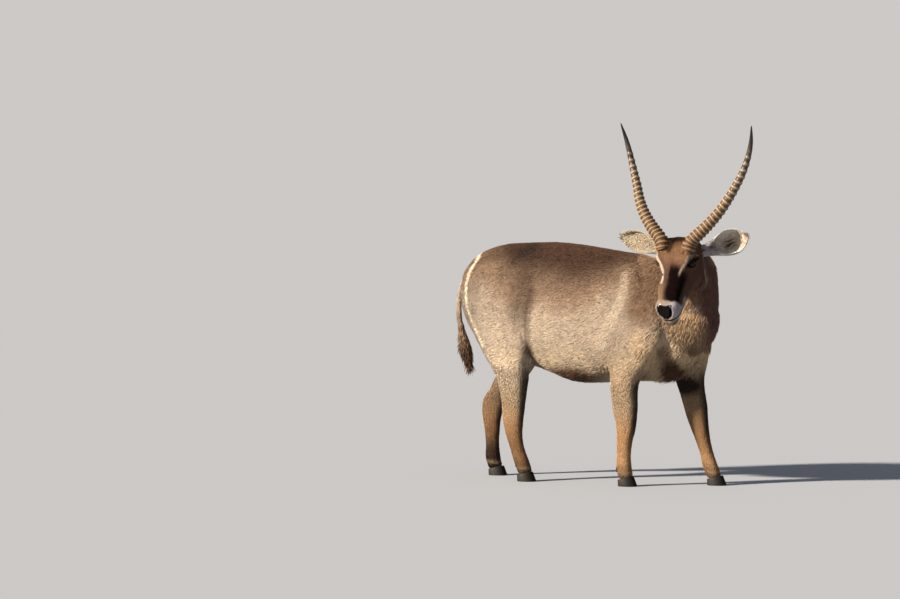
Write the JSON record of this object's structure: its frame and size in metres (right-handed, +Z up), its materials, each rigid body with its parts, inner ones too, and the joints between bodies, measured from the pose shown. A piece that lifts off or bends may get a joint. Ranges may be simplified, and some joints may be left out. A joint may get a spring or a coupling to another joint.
{
  "type": "common waterbuck bull",
  "caption": "Horned common waterbuck bull standing in a slow step, head turned to its right, ringed horns, cupped ears, hanging tail and split hooves",
  "frame": {"origin": "on the floor under the middle of the animal's box", "axes": "+X the way the trunk faces, +Y the animal's left, +Z up"},
  "size_m": [1.9356, 0.656, 1.9437],
  "materials": {
    "coat": "short grizzled brown-grey hair",
    "ear_coat": "short hair, pale inside the ear",
    "tail_coat": "brown hair with a darker tuft",
    "horn": "ringed horn, satin, standing in for keratin",
    "hoof": "dark satin hoof, standing in for keratin",
    "eye": "wet dark brown"
  },
  "bodies": {
    "root": {"trunk": "coat", "neck": "coat", "head": "coat", "leg_front_right_upper": "coat", "leg_front_right_lower": "coat", "leg_front_left_upper": "coat", "leg_front_left_lower": "coat", "leg_hind_right_upper": "coat", "leg_hind_right_lower": "coat", "leg_hind_left_upper": "coat", "leg_hind_left_lower": "coat", "tail": "tail_coat", "ear_left": "ear_coat", "ear_right": "ear_coat", "horn_left": "horn", "horn_right": "horn", "eye_left": "eye", "eye_right": "eye", "hoof_front_right_left": "hoof", "hoof_front_right_right": "hoof", "hoof_front_left_left": "hoof", "hoof_front_left_right": "hoof", "hoof_hind_right_left": "hoof", "hoof_hind_right_right": "hoof", "hoof_hind_left_left": "hoof", "hoof_hind_left_right": "hoof"}
  },
  "joints": []
}
